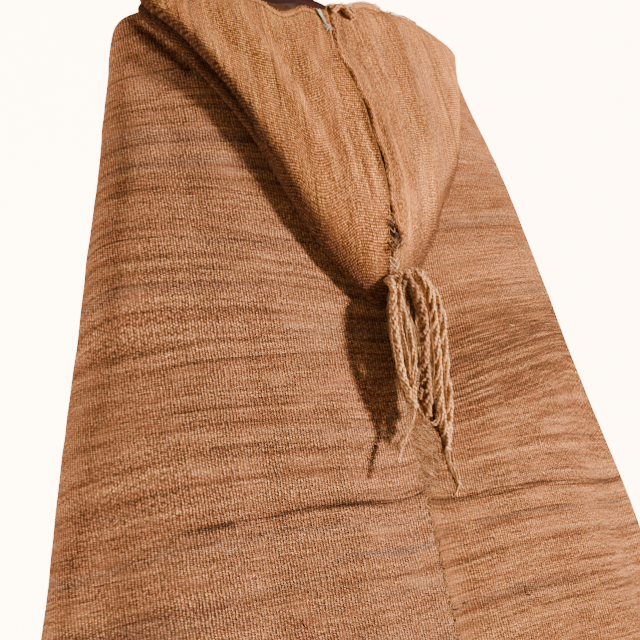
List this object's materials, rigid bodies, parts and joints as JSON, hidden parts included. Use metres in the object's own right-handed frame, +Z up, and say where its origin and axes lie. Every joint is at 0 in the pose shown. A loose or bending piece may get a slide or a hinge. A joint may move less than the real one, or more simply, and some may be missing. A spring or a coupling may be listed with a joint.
{
  "type": "hooded cloak on clothes hanger",
  "caption": "Full-length sleeveless wool cloak, open in front, with a pointed hood turned down over the back, corded at its tip, hung on a bent wooden hanger.",
  "frame": {"origin": "the inner top of the hanger's hook, where a rail carries it", "axes": "+Z up, the cloak's back faces +Y and its open front -Y, and the wearer's left is +X"},
  "size_m": [1.0291, 0.3678, 1.4656],
  "materials": {
    "body_wool": "hand-woven brown wool with uneven level stripes",
    "hood_wool": "hand-woven golden brown wool with stripes along the hood",
    "cord_wool": "twisted and braided undyed wool yarn",
    "hanger_wood": "dark red-brown lacquer",
    "hook_steel": "bright bent wire"
  },
  "bodies": {
    "root": {"body_left": "body_wool", "body_right": "body_wool", "hood_left": "hood_wool", "hood_right": "hood_wool", "tip_cords": "cord_wool", "hanger_wood": "hanger_wood", "hanger_hook": "hook_steel"}
  },
  "joints": []
}
